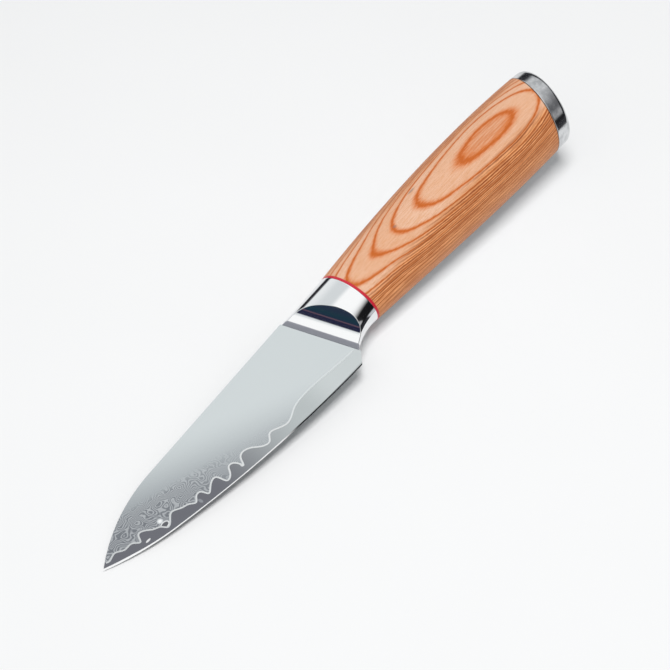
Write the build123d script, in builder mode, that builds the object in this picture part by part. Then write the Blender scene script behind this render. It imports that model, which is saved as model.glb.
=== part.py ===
from build123d import *
from math import atan2, cos, degrees, radians, sin, tan
import os

# A paring knife with a three-layer blade, a cove-ground steel bolster and a round-bellied
# laminated grip between a red liner and a slanted steel end cap.
#
# It is drawn level: X runs from the tip to the butt, Y from the cutting edge up to the spine and
# Z through the thickness, with the tip at the origin. Its left face looks along +Z. At the end the
# whole knife is laid down as it rests on a table, on its tip and on the side of its grip.
# Lengths are in millimetres and angles in degrees.

# Blade outline
blade_length = 88.9
heel_drop = 12.1
belly_joint_from_tip = 19.9
belly_joint_drop = 6.15
spine_rise = 13.6
spine_bend_from_tip = 28.3
spine_bend_rise = 9.95
choil_setback = 3.5
choil_rise = 3.1

# Blade thicknesses over both faces, and the honed bevel
spine_thickness = 2.0
heel_thickness = 0.36
tip_thickness = 0.4
edge_land = 0.04
bevel_angle = 15.0
core_share = 0.35

# Where the cladding ends on the blade, as shares of the blade's length behind the tip and of the
# heel's drop below the tip
cladding_line_shares = (
    (-0.040, -0.330), (0.014, -0.150), (0.030, -0.055), (0.060, -0.095), (0.086, 0.015),
    (0.115, 0.040), (0.131, 0.150), (0.147, -0.005), (0.168, 0.040), (0.186, 0.160),
    (0.205, 0.245), (0.216, 0.360), (0.234, 0.305), (0.260, 0.180), (0.290, 0.285),
    (0.311, 0.345), (0.326, 0.430), (0.345, 0.325), (0.361, 0.330), (0.371, 0.490),
    (0.398, 0.385), (0.427, 0.360), (0.438, 0.600), (0.460, 0.540), (0.480, 0.385),
    (0.496, 0.430), (0.507, 0.600), (0.522, 0.445), (0.562, 0.445), (0.590, 0.630),
    (0.614, 0.680), (0.638, 0.545), (0.664, 0.590), (0.698, 0.680), (0.752, 0.545),
    (0.790, 0.495), (0.855, 0.500), (0.920, 0.545), (0.985, 0.590), (1.100, 0.620),
)

# Bolster: a polished block that is ground to a slanted cove on both faces
bolster_length = 12.2
flare_from_neck = 5.9
flare_height = 20.0
flare_width = 10.6
flare_rise = 4.05
nose_overrun = 7.4
nose_height = 26.95
nose_width = 8.1
nose_rise = -0.1
cove_slant = 15.0
foot_step = 0.1
foot_width = 1.25
foot_rise = 0.85
floor_width = 1.5
floor_slope = 5.0
cove_radius = 6.3
rim_round = 0.2

# Grip: ovals at the neck, the swell and the butt, with two more blended in between
neck_height = 19.7
neck_width = 12.9
neck_rise = 4.45
swell_from_neck = 73.6
swell_height = 26.4
swell_width = 20.75
swell_rise = 4.5
butt_height = 24.6
butt_width = 19.0
butt_rise = 3.85
arch_rise = 0.36
blend_shares = ((0.28, 0.42, 0.48), (0.62, 0.82, 0.86))
liner_thickness = 0.8
grip_length = 88.1

# End cap
cap_length = 6.3
cap_slant = 22.3
cap_round = 2.4
tenon_height = 23.2
tenon_width = 16.6
tenon_length = 4.2
boss_length = 8.0
thread_depth = 7.0

# Tang and rod, hidden in the bolster and the grip
tang_thickness = 1.2
tang_height = 9.0
tang_length = 7.0
tail_height = 6.0
tail_length = 26.0
tail_taper = 1.2
spigot_diameter = 7.9
spigot_length = 5.5
bore_diameter = 8.0
rod_diameter = 4.0
fork_length = 10.0
rod_chamfer = 0.5

# Clearances
seat_clearance = 0.05
overrun = 2.0

# Places worked out from the sizes
tip = Vector(0, 0)
heel = Vector(blade_length, -heel_drop)
choil_top = Vector(blade_length + choil_setback, choil_rise - heel_drop)
spine_bend = Vector(spine_bend_from_tip, spine_bend_rise)
belly_joint = Vector(belly_joint_from_tip, -belly_joint_drop)


def foot_at(height):
    """The point at that height on the slanted line where the blade enters the bolster."""
    return Vector(choil_top.X - (height - choil_top.Y) * tan(radians(cove_slant)), height)


foot_top = foot_at(spine_rise)
neck_x = choil_top.X + bolster_length
liner_rear_x = neck_x + liner_thickness
swell_x = neck_x + swell_from_neck
cap_joint_x = neck_x + grip_length
cap_end_x = cap_joint_x + cap_length
form_end_x = cap_end_x + butt_height / 2 * tan(radians(cap_slant)) + overrun
spigot_end_x = liner_rear_x + spigot_length
shoulder_x = foot_at(neck_rise).X + tang_length
tail_end_x = shoulder_x + tail_length
rod_start_x = tail_end_x - fork_length
boss_start_x = cap_joint_x + tenon_length - boss_length
rod_end_x = boss_start_x + thread_depth


def across_bore(x):
    """The plane square to the bore at x, with its own X up to the spine, facing the butt."""
    return Plane((x, neck_rise, 0), x_dir=(0, 1, 0), z_dir=(1, 0, 0))


def along_cap(x):
    """The plane that crosses the bore at x and leans as the end cap does, facing the butt."""
    lean = radians(cap_slant)
    return Plane((x, neck_rise, 0), x_dir=(sin(lean), cos(lean), 0), z_dir=(cos(lean), -sin(lean), 0))


def ground_plane(share, side):
    """The plane of a ground face, or of a core face at that share of the thickness."""
    corners = (
        Vector(tip.X, tip.Y, side * share * tip_thickness / 2),
        Vector(heel.X, heel.Y, side * share * heel_thickness / 2),
        Vector(foot_top.X, foot_top.Y, side * share * spine_thickness / 2),
    )
    outward = (corners[1] - corners[0]).cross(corners[2] - corners[0]) * side
    return Plane(corners[0], x_dir=corners[1] - corners[0], z_dir=outward)


def oval(x, height, width, rise):
    """A cross-section of the handle at x, with its middle at that rise."""
    with BuildSketch(Plane((x, rise, 0), x_dir=(0, 1, 0), z_dir=(1, 0, 0))) as section:
        Ellipse(height / 2, width / 2)
    return section.sketch


# Outline of the blade in front of the bolster
with BuildSketch() as blade_outline:
    with BuildLine():
        Line(foot_top, spine_bend)
        TangentArc(spine_bend, tip, tangent=spine_bend - foot_top)
        belly = TangentArc(heel, belly_joint, tangent=(-1, 0))
        TangentArc(belly_joint, tip, tangent=belly % 1)
        Polyline(heel, choil_top, foot_top)
    make_face()

# Outline of the tang: a wide root in the bolster and a narrower tail that runs into the grip
root_low = neck_rise - tang_height / 2
root_high = neck_rise + tang_height / 2
tail_low = neck_rise - tail_height / 2
tail_high = neck_rise + tail_height / 2
with BuildSketch() as tang_outline:
    with BuildLine():
        Polyline(
            foot_at(root_low),
            (shoulder_x, root_low),
            (shoulder_x, tail_low),
            (tail_end_x, tail_low + tail_taper / 2),
            (tail_end_x, tail_high - tail_taper / 2),
            (shoulder_x, tail_high),
            (shoulder_x, root_high),
            foot_at(root_high),
            close=True,
        )
    make_face()

# Everything below the wavy line where the cladding ends
wave = [(along * blade_length, -below * heel_drop) for along, below in cladding_line_shares]
below_wave = -heel_drop - overrun
with BuildSketch() as below_cladding:
    with BuildLine():
        Spline(*wave)
        Polyline(wave[-1], (wave[-1][0], below_wave), (wave[0][0], below_wave), wave[0])
    make_face()

# Room on the blade's side of the two honed bevels, which meet at a fine land
hone_margin = spine_thickness * tan(radians(90 - bevel_angle))
with BuildSketch() as honed_outline:
    with BuildLine():
        rear = TangentArc(heel, belly_joint, tangent=(-1, 0))
        front = TangentArc(belly_joint, tip, tangent=rear % 1)
        ahead = tip + (front % 1) * hone_margin
        Polyline(
            tip,
            ahead,
            (ahead.X - hone_margin, ahead.Y),
            (ahead.X - hone_margin, spine_rise + hone_margin),
            (choil_top.X + hone_margin, spine_rise + hone_margin),
            (choil_top.X + hone_margin, -heel_drop),
            heel,
        )
    make_face()
with BuildPart() as hone:
    with BuildSketch(Plane.XY.offset(-edge_land / 2)):
        add(honed_outline.sketch)
    extrude(amount=-spine_thickness / 2, taper=90 - bevel_angle)
    mirror(about=Plane.XY)
    with BuildSketch():
        add(honed_outline.sketch)
    extrude(amount=edge_land / 2, both=True)

# Hard core: a thin middle layer that comes out to the faces below the cladding, and the tang's
with BuildPart() as bare_edge:
    with BuildSketch():
        add(blade_outline.sketch)
        add(below_cladding.sketch, mode=Mode.INTERSECT)
    extrude(amount=spine_thickness, both=True)
    for side in (1, -1):
        split(bisect_by=ground_plane(1, side), keep=Keep.BOTTOM)
with BuildPart() as blade_core:
    with BuildSketch():
        add(blade_outline.sketch)
    extrude(amount=spine_thickness, both=True)
    for side in (1, -1):
        split(bisect_by=ground_plane(core_share, side), keep=Keep.BOTTOM)
    add(bare_edge.part)
    add(hone.part, mode=Mode.INTERSECT)
    with BuildSketch():
        add(tang_outline.sketch)
    extrude(amount=core_share * tang_thickness / 2, both=True)


def cladding(side):
    """The soft layer on one side of the core, with its share of the tang."""
    with BuildPart() as layer:
        with BuildSketch():
            add(blade_outline.sketch)
            add(below_cladding.sketch, mode=Mode.SUBTRACT)
        extrude(amount=spine_thickness, dir=(0, 0, side))
        split(bisect_by=ground_plane(1, side), keep=Keep.BOTTOM)
        split(bisect_by=ground_plane(core_share, side), keep=Keep.TOP)
        add(hone.part, mode=Mode.INTERSECT)
        with BuildSketch(Plane.XY.offset(side * core_share * tang_thickness / 2)):
            add(tang_outline.sketch)
        extrude(amount=(1 - core_share) * tang_thickness / 2, dir=(0, 0, side))
    return layer


left_cladding = cladding(1)
right_cladding = cladding(-1)

# Both coves. Each runs down the foot line on the ground face, with a sloped foot, a floor and a
# round wall.
face = ground_plane(1, 1)
reach = choil_top - tip
cove_low = choil_top + Vector(0, 0, face.origin.Z - reach.dot(face.z_dir) / face.z_dir.Z)
cove_high = foot_top + Vector(0, 0, spine_thickness / 2)
slant = radians(cove_slant)
cove_plane = Plane(cove_low, x_dir=(cos(slant), sin(slant), 0), z_dir=cove_low - cove_high)
with BuildPart() as coves:
    with BuildSketch(cove_plane):
        with BuildLine():
            foot = Polyline((-overrun, foot_step), (0, foot_step), (foot_width, foot_rise))
            floor = PolarLine(foot @ 1, floor_width, floor_slope)
            wall = JernArc(floor @ 1, floor % 1, cove_radius, 90 - floor_slope)
            roof = (wall @ 1).Y + nose_width
            Polyline(wall @ 1, ((wall @ 1).X, roof), (-overrun, roof), (-overrun, foot_step))
        make_face()
    extrude(amount=nose_height + overrun, both=True)
    mirror(about=Plane.XY)

# Bolster: ovals that flare down to the choil, with the coves, a slot for the tang and a spigot
bolster_sections = [
    oval(choil_top.X - nose_overrun, nose_height, nose_width, nose_rise),
    oval(neck_x - flare_from_neck, flare_height, flare_width, flare_rise),
    oval(neck_x, neck_height, neck_width, neck_rise),
]
foot_plane = Plane(choil_top, x_dir=(-sin(slant), cos(slant), 0), z_dir=(-cos(slant), -sin(slant), 0))
with BuildPart() as bolster:
    loft(sections=bolster_sections)
    split(bisect_by=foot_plane, keep=Keep.BOTTOM)
    add(coves.part, mode=Mode.SUBTRACT)
    rims = bolster.faces().filter_by(GeomType.CYLINDER).edges().filter_by(GeomType.LINE, reverse=True)
    fillet(rims, radius=rim_round)
    with BuildSketch(across_bore(neck_x)):
        Circle(spigot_diameter / 2)
    extrude(amount=spigot_end_x - neck_x)
    with BuildSketch():
        add(tang_outline.sketch)
        offset(amount=seat_clearance)
    extrude(amount=tang_thickness / 2 + seat_clearance, both=True, mode=Mode.SUBTRACT)

# The form that the liner, the grip and the end cap are parts of, so that their faces run flush
form_sections = [oval(neck_x, neck_height, neck_width, neck_rise)]
for along, height_share, width_share in blend_shares:
    form_sections.append(
        oval(
            neck_x + along * swell_from_neck,
            neck_height + height_share * (swell_height - neck_height),
            neck_width + width_share * (swell_width - neck_width),
            neck_rise + arch_rise,
        )
    )
form_sections.append(oval(swell_x, swell_height, swell_width, swell_rise))
form_sections.append(oval(form_end_x, butt_height, butt_width, butt_rise))
with BuildPart() as form:
    loft(sections=form_sections)

# Red liner between the bolster and the grip
with BuildPart() as front_liner:
    add(form.part)
    split(bisect_by=across_bore(liner_rear_x), keep=Keep.BOTTOM)
    with BuildSketch(across_bore(neck_x)):
        Circle(bore_diameter / 2)
    extrude(amount=liner_thickness, mode=Mode.SUBTRACT)


def cap_tenon(room):
    """The oval block that the end cap fits over, with that much room all round."""
    with BuildPart() as block:
        with BuildSketch(along_cap(cap_joint_x)):
            Ellipse(tenon_height / 2 + room, tenon_width / 2 + room)
        extrude(amount=tenon_length + room, dir=(1, 0, 0))
    return block


# Grip with a tenon for the end cap, and a bore for the tang and the rod
with BuildPart() as grip:
    add(form.part)
    split(bisect_by=across_bore(liner_rear_x), keep=Keep.TOP)
    split(bisect_by=along_cap(cap_joint_x), keep=Keep.BOTTOM)
    add(cap_tenon(0).part)
    with BuildSketch(across_bore(liner_rear_x)):
        Circle(bore_diameter / 2)
    extrude(amount=form_end_x - liner_rear_x, mode=Mode.SUBTRACT)

# End cap: a cup over the tenon, with a threaded boss for the rod that goes into the bore
with BuildPart() as end_cap:
    add(form.part)
    split(bisect_by=along_cap(cap_joint_x), keep=Keep.TOP)
    split(bisect_by=along_cap(cap_end_x), keep=Keep.BOTTOM)
    end_face = end_cap.faces().filter_by(GeomType.PLANE).sort_by(Axis.X)[-1]
    fillet(end_face.edges(), radius=cap_round)
    add(cap_tenon(seat_clearance).part, mode=Mode.SUBTRACT)
    with BuildSketch(across_bore(boss_start_x)):
        Circle(spigot_diameter / 2)
    extrude(amount=boss_length + seat_clearance)
    with BuildSketch(across_bore(boss_start_x)):
        Circle(rod_diameter / 2 + seat_clearance)
    extrude(amount=thread_depth + seat_clearance, mode=Mode.SUBTRACT)

# Rod that joins the tang's tail, in its fork, to the end cap
with BuildPart() as tang_rod:
    with BuildSketch(across_bore(rod_start_x)):
        Circle(rod_diameter / 2)
    extrude(amount=rod_end_x - rod_start_x)
    chamfer(tang_rod.edges().sort_by(Axis.X)[-1], length=rod_chamfer)
    with BuildSketch(across_bore(rod_start_x)):
        Rectangle(tail_height, tang_thickness + 2 * seat_clearance)
    extrude(amount=fork_length + seat_clearance, mode=Mode.SUBTRACT)

# The knife is laid on its right side: turned about Y until its tip and its grip both touch the
# table, then moved so that the middle of its underside is at the origin
widths = [(swell_x, swell_width)]
for along, height_share, width_share in blend_shares:
    widths.append((neck_x + along * swell_from_neck, neck_width + width_share * (swell_width - neck_width)))
lean = max(degrees(atan2((width - tip_thickness) / 2, x)) for x, width in widths)
pieces = (blade_core, left_cladding, right_cladding, bolster, front_liner, grip, end_cap, tang_rod)
turned = Rot(0, -lean, 0)
box = Compound(children=[turned * piece.part for piece in pieces]).bounding_box()
laid = Pos(-box.center().X, -box.center().Y, -box.min.Z) * turned
for piece in pieces:
    piece.part.move(laid)
print(f"laid at {lean:.3f} degrees, moved by {laid.position}")

blade_core.part.label = "blade_core"
left_cladding.part.label = "left_cladding"
right_cladding.part.label = "right_cladding"
bolster.part.label = "bolster"
front_liner.part.label = "front_liner"
grip.part.label = "grip"
end_cap.part.label = "end_cap"
tang_rod.part.label = "tang_rod"

os.makedirs("parts", exist_ok=True)
export_step(blade_core.part, "parts/blade_core.step")
export_step(left_cladding.part, "parts/left_cladding.step")
export_step(right_cladding.part, "parts/right_cladding.step")
export_step(bolster.part, "parts/bolster.step")
export_step(front_liner.part, "parts/front_liner.step")
export_step(grip.part, "parts/grip.step")
export_step(end_cap.part, "parts/end_cap.step")
export_step(tang_rod.part, "parts/tang_rod.step")
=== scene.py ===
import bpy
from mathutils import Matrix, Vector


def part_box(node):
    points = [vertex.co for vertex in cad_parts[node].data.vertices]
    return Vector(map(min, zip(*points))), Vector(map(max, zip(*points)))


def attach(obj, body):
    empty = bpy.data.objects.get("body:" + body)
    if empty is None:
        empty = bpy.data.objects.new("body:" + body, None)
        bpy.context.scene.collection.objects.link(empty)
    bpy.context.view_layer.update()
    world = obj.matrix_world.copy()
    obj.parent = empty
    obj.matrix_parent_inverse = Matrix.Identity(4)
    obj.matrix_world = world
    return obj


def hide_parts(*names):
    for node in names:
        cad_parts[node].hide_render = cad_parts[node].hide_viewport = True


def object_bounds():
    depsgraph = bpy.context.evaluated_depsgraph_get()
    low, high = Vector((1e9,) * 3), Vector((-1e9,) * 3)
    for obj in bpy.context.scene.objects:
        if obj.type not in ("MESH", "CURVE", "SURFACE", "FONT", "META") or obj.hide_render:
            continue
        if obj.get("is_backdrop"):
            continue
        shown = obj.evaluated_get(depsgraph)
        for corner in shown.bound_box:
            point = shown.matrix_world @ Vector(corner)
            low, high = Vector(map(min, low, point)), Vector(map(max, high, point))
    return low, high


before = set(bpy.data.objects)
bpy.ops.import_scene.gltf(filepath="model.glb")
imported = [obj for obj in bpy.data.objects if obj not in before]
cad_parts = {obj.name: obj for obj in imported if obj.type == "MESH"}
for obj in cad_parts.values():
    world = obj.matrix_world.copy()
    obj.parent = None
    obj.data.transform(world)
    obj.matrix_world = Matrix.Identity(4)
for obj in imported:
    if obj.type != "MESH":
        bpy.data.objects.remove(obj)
cad_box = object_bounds()
print("pieces of the frame:", ", ".join(sorted(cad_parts)))

# %% [markdown]
# The wood and the steels need patterns that the CAD model doesn't carry, and the smooth pieces
# need curves worked out point by point. So the lesson uses Blender's own modules with numpy. It
# thinks in millimetres, as a maker does, and turns them into metres at the end.
# %% Tools
from math import atan2, cos, pi, radians, sin, tan

import bmesh
import bpy
import numpy as np
from mathutils import Matrix, Vector

MM = 0.001


def put_in_scene(name, data):
    thing = bpy.data.objects.new(name, data)
    bpy.context.scene.collection.objects.link(thing)
    return thing


print("a millimetre is", MM, "m in the frame")

# %% [markdown]
# The camera comes first, because every later choice is judged through it. The photograph is taken
# with a long lens from above the tip's side, so the knife keeps nearly the same scale from end to
# end. The camera is placed in metres and looks at a point on the table, with a slight roll.
# %% Camera
camera_place = Vector((-0.2946, -0.2224, 0.4019))
camera_aim = Vector((-0.0042, 0.0006, 0.0))
camera_roll = radians(0.38)
camera_lens = 107.46

camera = put_in_scene("camera", bpy.data.cameras.new("camera"))
camera.data.lens = camera_lens
camera.data.sensor_width = 36
looking = (camera_aim - camera_place).to_track_quat("-Z", "Y").to_matrix()
rolled = looking @ Matrix.Rotation(camera_roll, 3, "Z")
camera.matrix_world = Matrix.Translation(camera_place) @ rolled.to_4x4()
bpy.context.scene.camera = camera
print("the camera stands", round((camera_aim - camera_place).length, 3), "m away")

# %% [markdown]
# The handle's outline is one smooth form: ovals at the neck, the swell and the butt, two more that
# are blended between neck and swell, and a single curve through each of their sizes. The bolster
# adds two ovals of its own. These are the sizes the CAD solids were made from, in millimetres,
# with X from the tip to the butt, Y up to the spine and Z through the thickness.
# %% Sizes of the handle
neck_x = 104.6
neck_rise = 4.45
liner_thickness = 0.8
cap_joint_x = 192.7
cap_end_x = 199.0
cap_slant = radians(22.3)
swell_x = neck_x + 73.6
butt_height = 24.6
past_the_cap = 2.0
form_end_x = cap_end_x + butt_height / 2 * tan(cap_slant) + past_the_cap

neck_oval = np.array((neck_x, 19.7, 12.9, neck_rise))
swell_oval = np.array((swell_x, 26.4, 20.75, 4.5))
butt_oval = np.array((form_end_x, butt_height, 19.0, 3.85))
blend_shares = np.array(((0.28, 0.42, 0.48, 0), (0.62, 0.82, 0.86, 0)))
arch_rise = 0.36
blended_ovals = neck_oval + blend_shares * (swell_oval - neck_oval) + (0, 0, 0, arch_rise)
grip_ovals = np.array((neck_oval, *blended_ovals, swell_oval, butt_oval))

flare_from_neck, nose_from_neck = 5.9, 19.6
nose_oval = (neck_x - nose_from_neck, 26.95, 8.1, -0.1)
flare_oval = (neck_x - flare_from_neck, 20.0, 10.6, 4.05)
bolster_ovals = np.array((nose_oval, flare_oval, neck_oval))


def through(ovals):
    """Curves for the height, the width and the rise along X, through every oval."""
    along = ovals[:, 0]
    return [np.polynomial.Polynomial.fit(along, ovals[:, k], len(along) - 1) for k in (1, 2, 3)]


grip_form = through(grip_ovals)
bolster_form = through(bolster_ovals)
width_at_swell = float(grip_form[1](swell_x))
print("width of the grip at its swell:", round(width_at_swell, 2), "mm")

# %% [markdown]
# A point on the form is named by its X and by how far it is turned round the oval from the spine
# side. The normal follows from the same curves, so polished steel can be given a skin whose
# facets never show.
# %% Points and normals on the form


def joined(x, y, z):
    """Points from their X, Y and Z."""
    return np.stack(np.broadcast_arrays(x, y, z), axis=-1)


def skin(form, x, turn):
    """Points of the form's skin at x and turned by that angle from the spine side."""
    height, width, rise = (size(x) for size in form)
    return joined(x, rise + height / 2 * np.cos(turn), width / 2 * np.sin(turn))


def skin_normal(form, x, turn):
    """The outward normals there."""
    height, width, rise = (size(x) / 2 for size in form)
    height_slope, width_slope, rise_slope = (size.deriv()(x) / 2 for size in form)
    c, s = np.cos(turn), np.sin(turn)
    lean_x = -(2 * rise_slope * c + height_slope * c**2) / height - width_slope * s**2 / width
    normal = joined(lean_x, c / height, s / width)
    return normal / np.linalg.norm(normal, axis=-1, keepdims=True)


def arc_between(start, end, steps):
    """Directions that turn evenly from one to the other."""
    bend = np.arccos(np.clip((start * end).sum(axis=-1, keepdims=True), -1, 1))
    return [
        (np.sin((1 - share) * bend) * start + np.sin(share * bend) * end) / np.sin(bend)
        for share in np.linspace(0, 1, steps + 1)
    ]


def rounded_end(form, turn, place, facing, radius, steps):
    """Where the skin stops short of a flat end, and the rings that round it over into the flat."""
    x = np.full(turn.shape, place[0])
    for _ in range(24):
        centre = skin(form, x, turn) - radius * skin_normal(form, x, turn)
        x = x - ((centre - place) @ facing + radius) / facing[0]
    normal = skin_normal(form, x, turn)
    centre = skin(form, x, turn) - radius * normal
    return x, [centre + radius * direction for direction in arc_between(normal, facing, steps)]


# %% [markdown]
# The knife rests on its tip and on the side of its grip, so the whole form is turned by a small
# angle about Y and then moved. The angle follows from the widths, and the move from where the
# frame holds the grip.
# %% Lay the form down
tip_thickness = 0.4
lean = max(atan2((width - tip_thickness) / 2, x) for x, height, width, rise in grip_ovals[1:4])
turned = np.array(Matrix.Rotation(-lean, 3, "Y"))
around = np.linspace(0, 2 * pi, 193)
sampled = np.linspace(neck_x + liner_thickness, cap_joint_x, 200)
grip_skin = skin(grip_form, sampled[:, None], around[None, :]) @ turned.T
lowest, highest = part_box("grip")
skin_y = grip_skin[..., 1]
shift = np.array((
    lowest.x / MM - grip_skin[0, :, 0].min(),
    (lowest.y + highest.y) / 2 / MM - (skin_y.min() + skin_y.max()) / 2,
    lowest.z / MM - grip_skin[..., 2].min(),
))


def laid(points):
    """The same points in the frame, in metres."""
    return (np.asarray(points) @ turned.T + shift) * MM


print("leans by", round(float(np.degrees(lean)), 3), "degrees and moves by", shift.round(3), "mm")

# %% [markdown]
# Each piece is built from grids of points. The grids share their borders, so the doubles are
# merged, the faces are turned outwards, and only edges sharper than a set angle stay sharp.
# %% From grids of points to a piece


def piece_of(name, grids, sharp=radians(32)):
    """One closed mesh from grids of points given in the level frame."""
    points, faces = [], []
    for grid in grids:
        grid = np.asarray(grid)
        rows, columns = grid.shape[:2]
        first = sum(len(block) for block in points)
        points.append(laid(grid.reshape(-1, 3)))
        index = first + np.arange(rows * columns).reshape(rows, columns)
        corners = (index[:-1, :-1], index[:-1, 1:], index[1:, 1:], index[1:, :-1])
        faces.append(np.stack(corners, axis=-1).reshape(-1, 4))
    mesh = bpy.data.meshes.new(name)
    mesh.from_pydata(np.concatenate(points).tolist(), [], np.concatenate(faces).tolist())
    work = bmesh.new()
    work.from_mesh(mesh)
    bmesh.ops.remove_doubles(work, verts=work.verts, dist=0.0002 * MM)
    bmesh.ops.recalc_face_normals(work, faces=work.faces)
    open_edges = sum(1 for edge in work.edges if not edge.is_manifold)
    work.to_mesh(mesh)
    work.free()
    mesh.polygons.foreach_set("use_smooth", [True] * len(mesh.polygons))
    mesh.set_sharp_from_angle(angle=sharp)
    print(f"{name}: {len(mesh.polygons)} faces, {open_edges} open edges")
    return put_in_scene(name, mesh)


def circle(x, radius, turn):
    """A ring of points round the bore at x."""
    return joined(x, neck_rise + radius * np.cos(turn), radius * np.sin(turn))


def slanted(height, width, x, turn):
    """An oval in a plane that leans as the end cap does."""
    y = height / 2 * np.cos(turn)
    up, back = y * cos(cap_slant), y * sin(cap_slant)
    return joined(x + back, neck_rise + up, width / 2 * np.sin(turn))


# %% [markdown]
# The liner, the grip and the end cap share one flush skin. A hair of rounding on each edge gives
# the joints the fine dark line that they have on the real knife.
# %% Liner, grip and end cap
bore_radius = 4.0
boss_radius = 3.95
rod_hole_radius = 2.05
tenon = (23.2, 16.6)
tenon_length = 4.2
cup = (23.3, 16.7)
tenon_clearance = 0.05
boss_length, hole_depth = 8.0, 7.05
tenon_end_x = cap_joint_x + tenon_length
boss_start_x = tenon_end_x - boss_length
hole_end_x = boss_start_x + hole_depth
liner_rear_x = neck_x + liner_thickness
joint_round = 0.1
cap_round = 2.4
cap_joint_round = 0.15

forward = np.array((-1.0, 0.0, 0.0))
backward = -forward
butt_facing = np.array((cos(cap_slant), -sin(cap_slant), 0.0))


def middle(x):
    return np.array((x, neck_rise, 0.0))


def skin_rows(start, end, rows):
    """Rings of the grip's skin between two borders."""
    shares = np.linspace(0, 1, rows)[:, None]
    return skin(grip_form, start + shares * (end - start), around[None, :])


def flat_end(x, facing, radius, steps=3):
    """Where the grip's skin stops for a flat end at x, and the rings that round it over."""
    return rounded_end(grip_form, around, middle(x), facing, radius, steps)


def slanted_circle(x, radius):
    """A ring of points round the bore where a slanted floor cuts it."""
    return circle(x + radius * np.cos(around) * tan(cap_slant), radius, around)


front_x, front_rings = flat_end(neck_x, forward, joint_round)
rear_x, rear_rings = flat_end(liner_rear_x, backward, joint_round)
liner = piece_of("liner", [
    np.stack([circle(neck_x, bore_radius, around), *front_rings[::-1]]),
    skin_rows(front_x, rear_x, 4),
    np.stack([*rear_rings, circle(liner_rear_x, bore_radius, around)]),
    np.stack([circle(liner_rear_x, bore_radius, around), circle(neck_x, bore_radius, around)]),
])

front_x, front_rings = flat_end(liner_rear_x, forward, joint_round)
rear_x, rear_rings = flat_end(cap_joint_x, butt_facing, joint_round)
grip = piece_of("grip_wood", [
    np.stack([circle(liner_rear_x, bore_radius, around), *front_rings[::-1]]),
    skin_rows(front_x, rear_x, 220),
    np.stack([
        *rear_rings,
        slanted(*tenon, cap_joint_x, around),
        slanted(*tenon, tenon_end_x, around),
        slanted_circle(tenon_end_x, bore_radius),
        circle(liner_rear_x, bore_radius, around),
    ]),
])

front_x, front_rings = flat_end(cap_joint_x, -butt_facing, cap_joint_round, 4)
rear_x, rear_rings = flat_end(cap_end_x, butt_facing, cap_round, 14)
butt_middle = rear_rings[-1][:-1].mean(axis=0)
from_middle = rear_rings[-1] - butt_middle
butt_rings = [butt_middle + share * from_middle for share in (0.97, 0.8, 0.5, 0.2, 0)]
cup_floor_x = tenon_end_x + tenon_clearance
cap = piece_of("butt_cap", [
    np.stack([
        circle(hole_end_x, 0, around),
        circle(hole_end_x, rod_hole_radius, around),
        circle(boss_start_x, rod_hole_radius, around),
        circle(boss_start_x, boss_radius, around),
        slanted_circle(cup_floor_x, boss_radius),
        slanted(*cup, cup_floor_x, around),
        slanted(*cup, cap_joint_x, around),
        *front_rings[::-1],
    ]),
    skin_rows(front_x, rear_x, 24),
    np.stack([*rear_rings, *butt_rings]),
])

# %% [markdown]
# The bolster is a flared block with a cove ground across each face, and mirror steel shows every
# fault in its mesh. So it isn't cut with a boolean. Each straight line of the cove is followed to
# where it leaves the block, and those points become the shared rim of the cove and the skin.
# %% Profile of the cove
choil_top = np.array((92.4, -9.0, 0.0))
slant = radians(15)
half_spine, half_heel, half_tip = 1.0, 0.18, 0.2
foot_height = 22.6
foot_top = choil_top + (-foot_height * tan(slant), foot_height, 0)
heel = np.array((88.9, -12.1, 0.0))
foot_step, foot_width, foot_rise = 0.1, 1.25, 0.85
floor_width, floor_slope = 1.5, radians(5)
cove_radius = 6.3
farthest_up, farthest_down = -32, 12

corners = [np.array((0, 0, half_tip)), heel + (0, 0, half_heel), foot_top + (0, 0, half_spine)]
face_normal = np.cross(corners[1] - corners[0], corners[2] - corners[0])
face_height = half_tip - (choil_top @ face_normal) / face_normal[2]
cove_low = choil_top + (0, 0, face_height)
cove_high = foot_top + (0, 0, half_spine)
cove_down = (cove_low - cove_high) / np.linalg.norm(cove_low - cove_high)
cove_back = np.array((cos(slant), sin(slant), 0.0))
cove_out = np.cross(cove_down, cove_back)

foot_end = np.array((foot_width, foot_rise))
floor_end = foot_end + floor_width * np.array((cos(floor_slope), sin(floor_slope)))
wall_middle = floor_end + cove_radius * np.array((-sin(floor_slope), cos(floor_slope)))


def wall_point(angle):
    """The cove's wall where its profile has risen to that angle."""
    return wall_middle + cove_radius * np.array((sin(angle), -cos(angle)))


def in_space(profile_point):
    return cove_low + profile_point[0] * cove_back + profile_point[1] * cove_out


def outside(form, points):
    """Above zero outside the form and below zero inside."""
    height, width, rise = (size(points[..., 0]) for size in form)
    return ((points[..., 1] - rise) / height * 2) ** 2 + (points[..., 2] / width * 2) ** 2 - 1


def last_place(near, far, holds):
    """The last value on the way from near to far for which something holds."""
    for _ in range(40):
        half = (near + far) / 2
        if holds(half):
            near = half
        else:
            far = half
    return near


def ends_of_line(profile_point):
    """Where the cove's straight line through that point leaves the block, above and below."""
    start = in_space(profile_point)

    def inside(along):
        return outside(bolster_form, start + along * cove_down) < 0

    reach = np.linspace(farthest_up, farthest_down, 2201)
    within = np.flatnonzero(inside(reach[:, None]))
    if not len(within):
        return None
    first, last = within[0], within[-1]
    return [
        start + last_place(reach[near], reach[far], inside) * cove_down
        for near, far in ((first, first - 1), (last, last + 1))
    ]


top_angle = last_place(
    floor_slope, radians(90), lambda angle: ends_of_line(wall_point(angle)) is not None,
)
print("the wall meets the side", round(float(np.degrees(top_angle)), 1), "degrees round its arc")

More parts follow.
